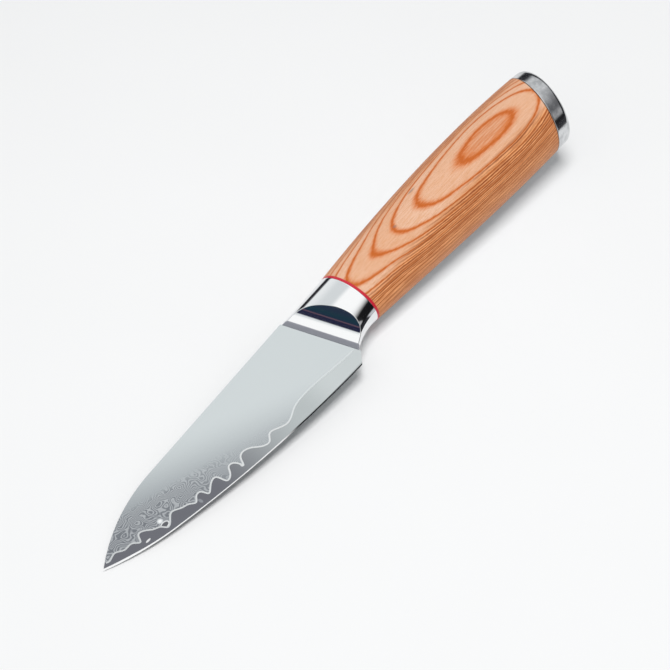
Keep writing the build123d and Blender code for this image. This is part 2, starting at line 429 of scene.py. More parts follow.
# %% [markdown]
# The profile is sampled more finely towards the top of the wall, where the rim turns back on
# itself. A ball is then rolled along the rim to break the edge, as a polishing wheel does.
# %% Rim and walls of the cove
profile = [(0, foot_step)]
foot_start = np.array(profile[0])
profile += [tuple(foot_start + share * (foot_end - foot_start)) for share in (0.3, 0.7, 1)]
profile += [tuple(foot_end + share * (floor_end - foot_end)) for share in (0.1, 0.4, 0.7, 1)]
shares = np.sin(np.linspace(0, pi / 2, 40)[1:])
wall_angles = floor_slope + shares * (top_angle - floor_slope)
profile += [tuple(wall_point(angle)) for angle in wall_angles]
profile = np.array(profile)
tangents = np.gradient(profile, axis=0)
tangents[0] = profile[1] - profile[0]
for k, angle in enumerate(wall_angles):
    tangents[len(profile) - len(wall_angles) + k] = (cos(angle), sin(angle))
tangents /= np.linalg.norm(tangents, axis=1, keepdims=True)
cove_normals = -tangents[:, 1:] * cove_back + tangents[:, :1] * cove_out

upper, lower = (np.array(side) for side in zip(*(ends_of_line(point) for point in profile)))
rim = np.concatenate([upper, lower[-2::-1]])
rim_normals = np.concatenate([cove_normals, cove_normals[-2::-1]])


def turn_at(form, points):
    """How far round the oval each point lies."""
    height, width, rise = (size(points[:, 0]) for size in form)
    return np.arctan2(points[:, 2] / width, (points[:, 1] - rise) / height)


block_normals = skin_normal(bolster_form, rim[:, 0], turn_at(bolster_form, rim))
round_at_foot, round_growth, full_round = 0.04, 0.1, 0.3
past_foot = np.concatenate([profile[:, :1], profile[-2::-1, :1]])
rim_round = np.minimum(full_round, round_at_foot + round_growth * past_foot)
agreement = (block_normals * rim_normals).sum(axis=1, keepdims=True)
ball = rim - rim_round * (block_normals + rim_normals) / (1 + agreement)
rolled = arc_between(block_normals, rim_normals, 6)
rim_strips = [ball + rim_round * direction for direction in rolled]
rim_strips[0] = skin(bolster_form, rim_strips[0][:, 0], turn_at(bolster_form, rim_strips[0]))
skin_border, cove_border = rim_strips[0], rim_strips[-1]
print("rim of", len(rim), "points, rounded by", round(float(rim_round.max()), 2), "mm")

# %% [markdown]
# The skin runs back from the rim to the neck. Above and below the coves it starts at the slanted
# foot, where a narrow flat closes the front.
# %% Assemble the bolster
count = len(profile)
neck_round = 0.1
skin_start_turn = turn_at(bolster_form, skin_border)
foot_facing = np.array((-cos(slant), -sin(slant), 0.0))


def foot_x(turn):
    """Where the skin meets the slanted foot."""
    x = np.full(turn.shape, choil_top[0])
    for _ in range(40):
        gap = (skin(bolster_form, x, turn) - choil_top) @ foot_facing
        x = x - gap / foot_facing[0]
    return x


top_turn = np.linspace(-skin_start_turn[0], skin_start_turn[0], 9)
bottom_turn = np.linspace(skin_start_turn[-1], 2 * pi - skin_start_turn[-1], 9)
far_side_turn = 2 * pi - skin_start_turn[::-1]
all_turns = np.concatenate([
    top_turn[:-1], skin_start_turn[:-1], bottom_turn[:-1], far_side_turn,
])
top_x, bottom_x = foot_x(top_turn), foot_x(bottom_turn)
top_x[[0, -1]], bottom_x[[0, -1]] = skin_border[0, 0], skin_border[-1, 0]
starts = np.concatenate([top_x[:-1], skin_border[:-1, 0], bottom_x[:-1], skin_border[::-1, 0]])
neck_end_x, neck_rings = rounded_end(
    bolster_form, all_turns, middle(neck_x), backward, neck_round, 3,
)
rows = np.concatenate([[0, 0.004], np.linspace(0.02, 0.98, 40), [1]])[:, None]
block = skin(bolster_form, starts + rows * (neck_end_x - starts), all_turns[None, :])
spigot_radius, spigot_length = 3.95, 5.5
spigot_end_x = liner_rear_x + spigot_length
block_back = np.stack([
    *neck_rings,
    circle(neck_x, spigot_radius, all_turns),
    circle(spigot_end_x, spigot_radius, all_turns),
    circle(spigot_end_x, 0, all_turns),
])


def mirrored(grid):
    return np.asarray(grid) * (1, 1, -1)


cove_upper, cove_lower = cove_border[:count], cove_border[:count - 2:-1]
across = np.array([0, 0.01, 0.25, 0.5, 0.75, 0.99, 1])[:, None, None]
cove_grid = cove_upper + across * (cove_lower - cove_upper)
grids = [block, block_back]
for side in (np.asarray, mirrored):
    grids += [side(cove_grid), side(np.stack(rim_strips))]
corner_top = np.array([strip[0] for strip in rim_strips[1:]])
corner_bottom = np.array([strip[-1] for strip in rim_strips[1:]])
front_top = np.concatenate([
    mirrored(corner_top[::-1]), skin(bolster_form, top_x, top_turn), corner_top,
])
front_bottom = np.concatenate([
    mirrored(corner_bottom[::-1]), skin(bolster_form, bottom_x, bottom_turn)[::-1], corner_bottom,
])
grids.append(front_top + across * (front_bottom - front_top))
bolster = piece_of("cove_bolster", grids, sharp=radians(24))

# %% [markdown]
# Every finish below is made of nodes. These few helpers add a node, set it and wire it in one
# line, so that each material reads like a recipe. A point is given in the level frame of the
# form, in millimetres, so a pattern can follow the same X, Y and Z as the shapes do.
# %% Helpers for nodes


class Wiring:
    """Adds nodes to one tree. A value for an input is a number, a colour or another output."""

    def __init__(self, tree):
        self.tree = tree

    def add(self, kind, inputs=(), **options):
        node = self.tree.nodes.new(kind)
        for option, choice in options.items():
            setattr(node, option, choice)
        for name, value in dict(inputs).items():
            self.give(node.inputs[name], value)
        return node

    def give(self, socket, value):
        if isinstance(value, bpy.types.NodeSocket):
            self.tree.links.new(value, socket)
        elif socket.type == "RGBA" and len(value) == 3:
            socket.default_value = (*value, 1)
        else:
            socket.default_value = value

    def fill(self, node, **inputs):
        """Gives a node's inputs by their names, with an underscore for a space."""
        for name, value in inputs.items():
            self.give(node.inputs[name.replace("_", " ")], value)

    def math(self, operation, *values):
        return self.add("ShaderNodeMath", enumerate(values), operation=operation).outputs[0]

    def plus(self, first, second):
        return self.math("ADD", first, second)

    def minus(self, first, second):
        return self.math("SUBTRACT", first, second)

    def times(self, first, second):
        return self.math("MULTIPLY", first, second)

    def apart(self, first, second):
        """How far two values are from each other."""
        return self.math("ABSOLUTE", self.minus(first, second))

    def ramp(self, value, low, high, to_low=0.0, to_high=1.0):
        """A smooth step from one value to another between low and high."""
        limits = {"From Min": low, "From Max": high, "To Min": to_low, "To Max": to_high}
        inputs = {"Value": value, **limits}
        return self.add("ShaderNodeMapRange", inputs, interpolation_type="SMOOTHSTEP").outputs[0]

    def blend(self, factor, first, second):
        """A mix of two colours: the first at a factor of 0, and the second at 1."""
        node = self.add("ShaderNodeMix", data_type="RGBA")
        for place, value in ((0, factor), (6, first), (7, second)):
            self.give(node.inputs[place], value)
        return node.outputs[2]

    def noise(self, point, scale, detail=2.0, roughness=0.5):
        inputs = {"Vector": point, "Scale": scale, "Detail": detail, "Roughness": roughness}
        return self.add("ShaderNodeTexNoise", inputs).outputs[0]

    def random_of(self, number):
        """A random value that is always the same for the same number."""
        inputs = {"W": number}
        return self.add("ShaderNodeTexWhiteNoise", inputs, noise_dimensions="1D").outputs[0]

    def vector(self, operation, *values):
        return self.add("ShaderNodeVectorMath", enumerate(values), operation=operation).outputs

    def parts(self, point):
        """X, Y and Z of a point."""
        return self.add("ShaderNodeSeparateXYZ", {0: point}).outputs

    def joined(self, x, y, z):
        return self.add("ShaderNodeCombineXYZ", {0: x, 1: y, 2: z}).outputs[0]

    def stretched(self, point, along, across):
        """The same point with X drawn out, for grain and grinding lines."""
        return self.vector("MULTIPLY", point, (along, across, across))[0]

    def distance_along(self, point, facing):
        return self.vector("DOT_PRODUCT", point, tuple(facing))["Value"]

    def away_from(self, point, place, radii):
        """The way from a place to the point, measured in the radii given."""
        return self.vector("DIVIDE", self.vector("SUBTRACT", point, place)[0], radii)[0]

    def spot(self, point, place, radii, outer, inner, strength=1.0):
        """A mask for an oval spot, which fades in between two shares of its radii."""
        away = self.vector("LENGTH", self.away_from(point, place, radii))["Value"]
        return self.ramp(away, outer, inner, 0.0, strength)

    def level_point(self):
        """Where a point lies on the level knife, in millimetres from the tip."""
        place = self.add("ShaderNodeTexCoord").outputs["Object"]
        move = {"Location": tuple(shift * MM), "Rotation": (0, -lean, 0), "Scale": (MM, MM, MM)}
        mapping = self.add("ShaderNodeMapping", {"Vector": place, **move}, vector_type="TEXTURE")
        return mapping.outputs[0]

    def group(self, tree, **inputs):
        node = self.add("ShaderNodeGroup", node_tree=tree)
        self.fill(node, **inputs)
        return node.outputs


print("the wiring knows", len([name for name in vars(Wiring) if name[0] != "_"]), "moves")

# %% [markdown]
# A finish starts from Blender's own shader. The sockets that are the same all over are set on it
# once, and the others are wired in its cell. A bump tilts the shading by a height that is too
# small to model, such as wood fibres.
# %% Start and end of a finish


def finish(name, metallic, **plain):
    """A new material, its wiring and its shader with the sockets that stay the same all over."""
    material = bpy.data.materials.new(name)
    material.use_nodes = True
    shader = material.node_tree.nodes["Principled BSDF"]
    wire = Wiring(material.node_tree)
    wire.fill(shader, Metallic=metallic, **plain)
    return material, wire, shader


def add_socket(tree, way, name, kind):
    """A new input or output of a node tree."""
    return tree.interface.new_socket(name=name, in_out=way, socket_type="NodeSocket" + kind)


def raise_grain(wire, shader, height, strength, distance):
    inputs = {"Strength": strength, "Distance": distance, "Height": height}
    wire.fill(shader, Normal=wire.add("ShaderNodeBump", inputs).outputs[0])


def count_nodes(material):
    print(f"{material.name}: {len(material.node_tree.nodes)} nodes")


# %% [markdown]
# The photograph has a plain pale table and soft light that comes from nearly straight above. The
# lamp lights the matt surfaces only, and is set so that a colour comes out about as it is written.
# %% Table and lamp
table_radius = 0.6
table_mesh = bpy.data.meshes.new("table")
work = bmesh.new()
bmesh.ops.create_circle(work, cap_ends=True, radius=table_radius, segments=96)
work.to_mesh(table_mesh)
work.free()
table = put_in_scene("table", table_mesh)
pale, wire, shader = finish("pale_table", 0.0, Roughness=0.9, Specular_IOR_Level=0.0)
mottle = wire.noise(wire.level_point(), 0.02)
table_tone = wire.blend(mottle, (0.895, 0.895, 0.895), (0.91, 0.91, 0.91))
wire.fill(shader, Base_Color=table_tone)
table_mesh.materials.append(pale)
table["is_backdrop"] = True

lamp_place = (-0.05, -0.08, 0.9)
lamp_size = 0.42
lamp_radiance = 9.6
lamp = bpy.data.lights.new("soft_lamp", "AREA")
lamp.size = lamp_size
lamp.energy = lamp_radiance * pi * lamp_size**2
soft_lamp = put_in_scene("soft_lamp", lamp)
soft_lamp.location = lamp_place
soft_lamp.visible_glossy = False
print("the lamp gives", round(lamp.energy, 2), "W")

# %% [markdown]
# Polished steel shows only what stands round it. So the room is a world that looks different from
# each side. Overhead hangs a white panel, and past its edge stands a pale wall behind the spine.
# The wall behind the butt is grey, with a dark place under a shelf. Each is a colour that takes
# over as the direction turns towards it.
# %% Walls of the room
room = bpy.data.worlds.new("room")
bpy.context.scene.world = room
room.use_nodes = True
wire = Wiring(room.node_tree)
to_butt, to_spine, upwards = wire.parts(wire.add("ShaderNodeTexCoord").outputs["Generated"])

white_panel, pale_wall, pale_corner = (1.13, 1.13, 1.12), (0.76, 0.79, 0.80), (0.95, 0.97, 0.97)
past_panel = wire.math("MULTIPLY_ADD", to_butt, -0.90, to_spine)
seen = wire.blend(wire.ramp(past_panel, 0.19, 0.34), white_panel, pale_wall)
seen = wire.blend(wire.ramp(to_spine, 0.65, 0.90), seen, pale_corner)

butt_dim, butt_bright, butt_front = (0.20, 0.20, 0.21), (0.76, 0.77, 0.78), (0.48, 0.48, 0.49)
under_shelf_tone = (0.04, 0.042, 0.05)
butt_wall = wire.blend(wire.ramp(to_spine, -0.30, 0.25), butt_dim, butt_bright)
butt_wall = wire.blend(wire.ramp(to_spine, -0.42, -0.58), butt_wall, butt_front)
under_shelf = wire.times(wire.ramp(upwards, 0.46, 0.30), wire.ramp(to_spine, 0.30, 0.50))
butt_wall = wire.blend(under_shelf, butt_wall, under_shelf_tone)
seen = wire.blend(wire.ramp(to_butt, 0.50, 0.57), seen, butt_wall)
count_nodes(room)

# %% [markdown]
# In front the room is dark up to the panel, which gives the bolster and the cap their black band.
# The edge of the dark is soft on the bolster's side and sharp on the cap's. Low down, a skirting
# runs round the room: pale in front, and dark elsewhere.
# %% Dark front and skirting
dark_front = (0.010, 0.010, 0.011)
pale_skirting_tone, dark_skirting_tone = (0.60, 0.60, 0.62), (0.03, 0.03, 0.035)
from_edge = wire.minus(upwards, wire.ramp(to_butt, 0.50, 0.60, 0.865, 0.43))
softness = wire.ramp(to_butt, 0.50, 0.60, 0.105, 0.03)
low_front = wire.ramp(wire.math("DIVIDE", from_edge, softness), 1.0, -1.0)
for mask in (wire.ramp(to_spine, 0.05, -0.10), wire.ramp(to_butt, -0.20, -0.05)):
    low_front = wire.times(low_front, mask)
seen = wire.blend(low_front, seen, dark_front)
pale_skirting = wire.times(wire.ramp(to_spine, 0.0, -0.3), wire.ramp(to_butt, 0.56, 0.50))
skirting = wire.blend(pale_skirting, dark_skirting_tone, pale_skirting_tone)
seen = wire.blend(wire.ramp(upwards, 0.34, 0.22), seen, skirting)
count_nodes(room)

# %% [markdown]
# The wall of the cove looks towards the tip, where the room is a deep blue with one reddish edge.
# The matt surfaces get an even sky instead of the room, and the camera sees a pale tone close to
# the table's.
# %% Wall towards the tip, sky and background
tip_wall = wire.add("ShaderNodeValToRGB", {0: wire.math("MULTIPLY_ADD", to_butt, 0.5, 0.5)})
tip_wall_tones = (
    (0.0, (0.022, 0.034, 0.064)), (0.10, (0.012, 0.040, 0.060)), (0.19, (0.014, 0.030, 0.060)),
    (0.22, (0.16, 0.09, 0.12)), (0.25, (0.018, 0.020, 0.052)), (0.5, (0.018, 0.020, 0.052)),
)
stops = tip_wall.color_ramp.elements
while len(stops) < len(tip_wall_tones):
    stops.new(0.5)
for stop, (place, colour) in zip(stops, tip_wall_tones):
    stop.position, stop.color = place, (*colour, 1)
over_wall = wire.ramp(wire.math("MULTIPLY_ADD", to_butt, -0.18, to_spine), 0.26, 0.32)
tip_side = wire.times(wire.ramp(to_butt, -0.155, -0.19), wire.minus(1.0, over_wall))
tip_side = wire.times(tip_side, wire.ramp(to_spine, -0.35, -0.25))
seen = wire.blend(tip_side, seen, tip_wall.outputs[0])

below_table = (0.02, 0.02, 0.02)
seen = wire.blend(wire.math("GREATER_THAN", upwards, 0.0), below_table, seen)
sky = wire.blend(wire.ramp(upwards, 0.0, 0.7), (0.36, 0.42, 0.46), (0.43, 0.43, 0.43))
background = (0.92, 0.92, 0.92)
rays = wire.add("ShaderNodeLightPath").outputs
tone = wire.blend(rays["Is Diffuse Ray"], seen, sky)
tone = wire.blend(rays["Is Camera Ray"], tone, background)
wire.give(room.node_tree.nodes["Background"].inputs["Color"], tone)
count_nodes(room)

# %% [markdown]
# The grip is dyed wood pressed from thin layers. Where the turned form cuts through them, each
# glue line comes out as a contour, like the lines on a map: nested points along the top, a long
# island at the swell, and close stripes down the side. So the figure isn't drawn. It is worked
# out from how deep each point lies in the stack, and the stack is bowed at the butt, cupped
# across, warped near the neck and a little uneven. The first line is also drawn up a little,
# which makes the island smaller.
# %% Depth in the stack of layers
layer_thickness = 0.80
first_layer = 9.95
board_middle = 5.4
cupping = 0.006
bow_start, bow_reach = 168.0, 24.0

laminated, wire, shader = finish(
    "laminated_wood", 0.0, Coat_Weight=0.06, Coat_Roughness=0.25, Specular_IOR_Level=0.2,
)
point = wire.level_point()
x, y, z = wire.parts(point)
past_start = wire.math("MAXIMUM", wire.minus(x, bow_start), 0.0)
bow = wire.math("POWER", wire.math("DIVIDE", past_start, bow_reach), 2.0)
cup_of_board = wire.times(wire.math("POWER", wire.minus(y, board_middle), 2.0), cupping)
depth = wire.plus(wire.minus(z, bow), cup_of_board)
rise_of_warp = wire.ramp(x, 100.0, 120.0, -0.34, 0.14)
fall_of_warp = wire.ramp(x, 118.0, 130.0, 0.0, -0.14)
depth = wire.minus(depth, wire.plus(rise_of_warp, fall_of_warp))
drift = wire.noise(wire.stretched(point, 0.045, 0.11), 1.0, 1.0)
ragged = wire.noise(wire.stretched(point, 0.5, 3.0), 1.0, 2.0)
for unevenness, amount in ((drift, 0.30), (ragged, 0.16)):
    depth = wire.plus(depth, wire.times(wire.minus(unevenness, 0.5), amount))
layer = wire.math("DIVIDE", wire.minus(first_layer, depth), layer_thickness)
layer = wire.plus(layer, wire.ramp(layer, 0.6, -0.1, 0.0, 0.14))
print("layers in the grip at its swell:", round(width_at_swell / layer_thickness))

# %% [markdown]
# Between the glue lines each layer has its own tone, drawn out into fibres. The top layer is cut
# away but for an island, which is darker and streaked.
# %% Tones and fibres of the layers
side = wire.ramp(wire.apart(y, board_middle), 5.5, 9.0)
side_tone, fibre_tone = (0.91, 0.42, 0.175), (0.70, 0.31, 0.13)
tone_of_layer = wire.random_of(wire.math("FLOOR", layer))
colour = wire.blend(tone_of_layer, (0.84, 0.53, 0.37), (0.80, 0.45, 0.28))
colour = wire.blend(side, colour, side_tone)
fibres = wire.noise(wire.stretched(point, 0.14, 3.2), 1.0, 4.0, 0.72)
colour = wire.blend(wire.times(wire.ramp(fibres, 0.40, 0.64), 0.5), colour, fibre_tone)
streaks = wire.noise(wire.stretched(point, 0.12, 2.2), 1.0, 2.0, 0.6)
inside = wire.blend(wire.ramp(streaks, 0.40, 0.62), (0.66, 0.23, 0.085), (0.76, 0.39, 0.23))
colour = wire.blend(wire.times(wire.ramp(layer, 0.10, -0.14), 0.9), colour, inside)
count_nodes(laminated)

# %% [markdown]
# Down the sides the cut runs square through the stack, so the veneers' own fine lines show too.
# They follow the layers in close steps, and each line has its own darkness.
# %% Fine stripes down the sides
fine_layers = 2.4
grain_tone, fine_line_tone = (0.42, 0.105, 0.026), (0.26, 0.046, 0.010)
edge_point = wire.joined(wire.times(x, 0.02), depth, 0.0)
edge_grain = wire.ramp(wire.noise(edge_point, 6.0, 1.0, 0.6), 0.44, 0.56)
colour = wire.blend(wire.times(edge_grain, wire.times(side, 0.5)), colour, grain_tone)
fine_layer = wire.times(layer, fine_layers)
line_number = wire.math("ROUND", fine_layer)
fine_line = wire.ramp(wire.apart(fine_layer, line_number), 0.36, 0.12)
darkness = wire.ramp(wire.random_of(line_number), 0.0, 0.8, 0.25, 0.95)
fine_line = wire.times(wire.times(fine_line, darkness), side)
colour = wire.blend(fine_line, colour, fine_line_tone)
count_nodes(laminated)

# %% [markdown]
# A glue line lies at each whole number of layers. The resin soaks into the wood beside it, so the
# line has an orange halo and a darker core, and both are thinner down the sides.
# %% Glue lines
glue_line, thinner_at_side = 0.21, 0.42
halo_tone = (0.69, 0.19, 0.040)
core_on_top, core_at_side = (0.54, 0.115, 0.014), (0.26, 0.050, 0.010)
from_line = wire.times(wire.apart(layer, wire.math("ROUND", layer)), layer_thickness)
reach = wire.math("MULTIPLY_ADD", side, -thinner_at_side * glue_line, glue_line)
share = wire.math("DIVIDE", from_line, reach)
halo, core = wire.ramp(share, 1.0, 0.0), wire.ramp(share, 0.5, 0.0)
colour = wire.blend(wire.times(halo, 0.92), colour, halo_tone)
core_tone = wire.blend(side, core_on_top, core_at_side)
colour = wire.blend(wire.times(core, 0.85), colour, core_tone)
count_nodes(laminated)

# %% [markdown]
# Last come two grey smudges, the pores and the dark joint at the cap. Light that has bounced off
# the wood is given a plain tone, because the shadow beside the real knife is a neutral grey.
# %% Marks, pores and sheen of the wood
smudge_tone, pore_tone, joint_tone = (0.22, 0.17, 0.16), (0.30, 0.11, 0.045), (0.035, 0.025, 0.02)
bounce_tone = (0.64, 0.62, 0.62)
for place, radii, strength in (
    ((127.43, 5.79, 8.41), (0.8, 0.6, 1.5), 0.5), ((140.87, 10.12, 8.40), (1.8, 0.45, 1.5), 0.6),
):
    colour = wire.blend(wire.spot(point, place, radii, 1.2, 0.3, strength), colour, smudge_tone)
pores = wire.ramp(wire.noise(wire.stretched(point, 1.6, 16.0), 1.0, 0.0), 0.66, 0.74)
colour = wire.blend(wire.times(pores, 0.35), colour, pore_tone)
cap_joint = float(middle(cap_joint_x) @ butt_facing)
from_cap = wire.apart(wire.distance_along(point, butt_facing), cap_joint)
colour = wire.blend(wire.ramp(from_cap, 0.40, 0.15, 0.0, 0.9), colour, joint_tone)
bounced = wire.add("ShaderNodeLightPath").outputs["Is Diffuse Ray"]
wire.fill(shader, Base_Color=wire.blend(bounced, colour, bounce_tone))
wire.fill(shader, Roughness=wire.ramp(fibres, 0.2, 0.8, 0.42, 0.55))
raise_grain(wire, shader, fibres, 0.12, 0.00005)
count_nodes(laminated)

# %% [markdown]
# Ground and brushed steel carries fine parallel lines. The same lines serve the blade, the foot
# of the bolster and the end cap, so they are one shader node group with its own scales.
# %% Grinding lines
grinding = bpy.data.node_groups.new("grinding_lines", "ShaderNodeTree")
for name, kind in (("Point", "Vector"), ("Along", "Float"), ("Across", "Float")):
    add_socket(grinding, "INPUT", name, kind)
for name in ("Height", "Shade"):
    add_socket(grinding, "OUTPUT", name, "Float")
wire = Wiring(grinding)
given = wire.add("NodeGroupInput").outputs
result = wire.add("NodeGroupOutput")
scales = wire.joined(given["Along"], given["Across"], given["Across"])
fine = wire.noise(wire.vector("MULTIPLY", given["Point"], scales)[0], 1.0, 3.0, 0.7)
wire.fill(result, Height=fine)
wire.fill(result, Shade=wire.ramp(fine, 0.25, 0.75))
print("grinding lines take", ", ".join(socket.name for socket in given if socket.name))

# %% [markdown]
# The bolster is polished to a mirror, apart from the ground foot that meets the blade. That strip
# lies within a set distance of the foot line, measured along the cove. Its darker, bluish tone is
# partly the ground finish and partly a painted reflection.
# %% Polished steel with a ground foot
mirror_tone, foot_tone_with_painted_reflection = (0.83, 0.84, 0.85), (0.52, 0.525, 0.575)
polished, wire, shader = finish("polished_steel", 1.0)
point = wire.level_point()
from_foot = wire.minus(wire.distance_along(point, cove_back), float(cove_low @ cove_back))
on_foot = wire.ramp(from_foot, foot_width + 0.06, foot_width - 0.02)
# Partly painted reflection: the foot is darker and bluer than the mirror.
wire.fill(shader, Base_Color=wire.blend(on_foot, mirror_tone, foot_tone_with_painted_reflection))
lines = wire.group(grinding, Point=point, Along=3.0, Across=3.0)
haze = wire.math("MULTIPLY_ADD", lines["Shade"], 0.02, 0.07)
wire.fill(shader, Roughness=wire.math("MULTIPLY_ADD", on_foot, 0.42, haze))
count_nodes(polished)

# %% [markdown]
# The end cap has a satin finish, brushed round the bore. Turning the point into an angle round
# the bore makes the brushing lines run round it too.
# %% Satin steel
satin, wire, shader = finish("satin_steel", 1.0)
point = wire.level_point()
_, y, z = wire.parts(point)
turned_round = wire.math("ARCTAN2", z, wire.minus(y, neck_rise))
unrolled = wire.joined(turned_round, wire.distance_along(point, butt_facing), 0.0)
lines = wire.group(grinding, Point=unrolled, Along=1.5, Across=7.0)
clouds = wire.ramp(wire.noise(point, 0.45, 2.0), 0.3, 0.7)
satin_tone = wire.blend(clouds, (0.50, 0.51, 0.52), (0.72, 0.73, 0.74))
wire.fill(shader, Base_Color=satin_tone)
wire.fill(shader, Roughness=wire.math("MULTIPLY_ADD", lines["Shade"], 0.06, 0.12))
raise_grain(wire, shader, lines["Height"], 0.1, 0.00002)
count_nodes(satin)

# %% [markdown]
# The liner is a thin disc of red fibre, polished with the grip. A faint mottle keeps it from
# looking like paint.
# %% Red fibre
red, wire, shader = finish("red_fibre", 0.0, Roughness=0.3)
mottle = wire.noise(wire.level_point(), 2.5, 3.0)
red_tone = wire.blend(mottle, (0.50, 0.010, 0.025), (0.66, 0.018, 0.042))
wire.fill(shader, Base_Color=red_tone)
count_nodes(red)

# %% [markdown]
# The cladding is forged from two steels in many layers, and grinding cuts through them. Where it
# grazes a bump in the layers it leaves an eye of closed rings, and between the eyes the lines run
# along the edge. So the figure is a field of heights, cut at even steps: a slope, some swirl, and
# one bump for each eye. It shows below a slanted line from the tip's spine to the heel, and fades
# towards the bolster.
# %% Figure of the layered steel
slant_start, slant_fall = 11.2, -0.29
swirl_height = 17.0
eye_flatness = 0.7
through_blade = 40.0
eyes = (
    ((8.1, 2.7), 1.5, 2.6), ((10.9, 3.6), 0.9, 1.6), ((16.0, 2.8), 2.0, 3.4),
    ((22.3, 2.0), 1.5, 2.6), ((23.4, 3.9), 1.4, -2.0), ((27.1, 0.1), 1.4, 2.2),
    ((13.0, -0.6), 0.9, 1.8), ((30.5, 0.6), 1.3, -1.6),
)
layered, wire, shader = finish("layered_steel", 1.0)
point = wire.level_point()
x, y, _ = wire.parts(point)
below_slant = wire.minus(wire.math("MULTIPLY_ADD", x, slant_fall, slant_start), y)
flattened = wire.vector("MULTIPLY", point, (1.0, 1.0, 0.6))[0]
swirl = wire.times(wire.noise(flattened, 0.22, 2.0, 0.35), swirl_height)
field = wire.plus(below_slant, swirl)
for place, reach, rise in eyes:
    away = wire.away_from(point, (*place, 0.0), (reach, reach * eye_flatness, through_blade))
    squared = wire.vector("DOT_PRODUCT", away, away)["Value"]
    bump = wire.math("EXPONENT", wire.times(squared, -1.0))
    field = wire.math("MULTIPLY_ADD", bump, rise, field)
rings = wire.ramp(wire.apart(wire.math("FRACT", field), 0.5), 0.12, 0.42)
near_edge = wire.ramp(below_slant, -1.5, 1.5)
strength = wire.times(near_edge, wire.ramp(x, 26.0, 50.0, 1.0, 0.15))
count_nodes(layered)

# %% [markdown]
# The whole face is darker towards the tip and the edge: partly a stronger etch, and partly painted
# shade in place of the darker reflections there. By the joint the acid has left a dark oval with a
# pale rim, and a small white spot beside it.
# %% Tones of the layered steel
etched_and_shaded_by_edge, clear_face = (0.265, 0.285, 0.31), (0.60, 0.645, 0.66)
dark_line, pale_line = (0.09, 0.095, 0.115), (0.72, 0.74, 0.76)
# Partly painted shade: the face tone darkens towards the tip and the edge, on top of the etch.
clear_of_edge = wire.ramp(wire.math("MULTIPLY_ADD", y, 2.2, x), 12.0, 70.0)
face_tone = wire.blend(clear_of_edge, etched_and_shaded_by_edge, clear_face)
dark_rings = wire.blend(0.46, face_tone, dark_line)
pale_rings = wire.blend(0.36, face_tone, pale_line)
colour = wire.blend(strength, face_tone, wire.blend(rings, dark_rings, pale_rings))
for place, radii, spot_tone in (
    ((19.26, -3.31), (1.45, 0.95), (0.80, 0.82, 0.83)),
    ((19.26, -3.31), (1.12, 0.66), (0.13, 0.135, 0.15)),
    ((19.27, -1.65), (0.85, 0.75), (0.62, 0.65, 0.67)),
    ((19.27, -1.65), (0.5, 0.45), (0.88, 0.89, 0.90)),
):
    spot = wire.spot(point, (*place, 0.0), (*radii, through_blade), 1.1, 0.85)
    colour = wire.blend(spot, colour, spot_tone)
wire.fill(shader, Base_Color=colour)
blade_grind = {"Along": 0.25, "Across": 2.5}
lines = wire.group(grinding, Point=point, **blade_grind)
ground = wire.math("MULTIPLY_ADD", lines["Shade"], 0.012, 0.26)
roughness = wire.math("MULTIPLY_ADD", wire.times(rings, strength), 0.08, ground)
wire.fill(shader, Roughness=roughness)
count_nodes(layered)

# %% [markdown]
# The hard core comes out below the wavy line. Near the tip it etches much darker than the
# cladding, with a few pale flecks, and towards the bolster it turns as pale; part of that change
# along the blade is painted shade, as on the cladding. The honed bevel along the edge is bare
# bright steel. It is found by its slope: its faces are turned away from the ground faces, and lie
# close to the middle of the blade.
# %% Core steel and honed bevel
honed_turn = radians(7)
core_steel, wire, shader = finish("core_steel", 1.0)
point = wire.level_point()
x, _, z = wire.parts(point)
normal = wire.add("ShaderNodeNewGeometry").outputs["True Normal"]
ground_normal = face_normal / np.linalg.norm(face_normal)
facing = 0.0
for side in (1, -1):
    ground = (ground_normal * (1, 1, side)) @ turned.T
    facing = wire.math("MAXIMUM", facing, wire.distance_along(normal, ground))
turned_away = wire.math("LESS_THAN", facing, cos(honed_turn))
half_bevel = wire.ramp(x, 20.0, 62.0, 0.15, 0.11)
near_apex = wire.math("LESS_THAN", wire.math("ABSOLUTE", z), half_bevel)
honed = wire.times(turned_away, near_apex)
count_nodes(core_steel)

# %% [markdown]
# Past the middle of the edge the real bevel mirrors something dark, so there its tone goes over
# into a painted dark reflection.
# %% Tones of the core
etched_and_shaded_core_at_tip = (0.148, 0.152, 0.174)
core_past_middle, core_at_heel = (0.45, 0.485, 0.495), (0.55, 0.59, 0.60)
bare_bright, painted_dark_reflection = (0.86, 0.87, 0.88), (0.02, 0.02, 0.022)
# Partly painted shade: the core darkens towards the tip, as the cladding does.
colour = wire.blend(wire.ramp(x, 34.0, 68.0), etched_and_shaded_core_at_tip, core_past_middle)
colour = wire.blend(wire.ramp(x, 68.0, 80.0), colour, core_at_heel)
for place, radii, fleck_tone in (
    ((13.23, -3.05), (0.85, 0.30), (0.70, 0.71, 0.72)),
    ((30.1, -5.8), (0.45, 0.8), (0.26, 0.275, 0.30)),
    ((44.9, -7.2), (0.55, 0.55), (0.70, 0.72, 0.73)),
):
    fleck = wire.spot(point, (*place, 0.0), (*radii, through_blade), 1.1, 0.8)
    colour = wire.blend(fleck, colour, fleck_tone)
# Painted reflection: past the middle the bevel's tone turns dark.
bare = wire.blend(wire.ramp(x, 56.0, 64.0), bare_bright, painted_dark_reflection)
wire.fill(shader, Base_Color=wire.blend(honed, colour, bare))
lines = wire.group(grinding, Point=point, **blade_grind)
wire.fill(shader, Roughness=wire.math("MULTIPLY_ADD", lines["Shade"], 0.02, 0.22))
count_nodes(core_steel)

